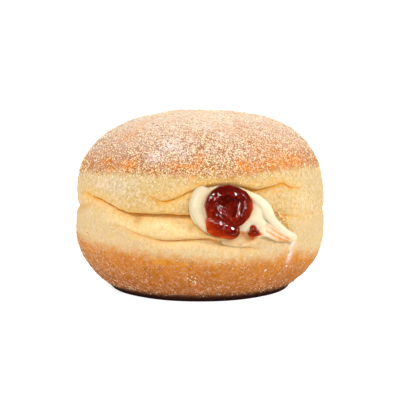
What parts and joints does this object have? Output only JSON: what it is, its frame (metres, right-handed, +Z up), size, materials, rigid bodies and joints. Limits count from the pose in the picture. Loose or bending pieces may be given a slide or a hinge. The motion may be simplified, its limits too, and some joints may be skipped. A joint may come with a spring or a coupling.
{
  "type": "jelly filled doughnut",
  "caption": "Tall round fried bun, split at the waist, with cream and a dollop of red jam pushed out at the front.",
  "frame": {"origin": "centre of the flat foot that the bun rests on", "axes": "+Z up; -Y towards the split with the jam; +X to the right of someone who looks at the jam"},
  "size_m": [0.0862, 0.0904, 0.062],
  "materials": {
    "dough": "fried yeast dough, golden brown above and below a pale waist, dusted with sugar",
    "cream": "soft glossy custard cream",
    "jam": "wet red jam"
  },
  "bodies": {
    "root": {"dough": "dough", "cream": "cream", "jam": "jam", "jam_drop": "jam"}
  },
  "joints": []
}
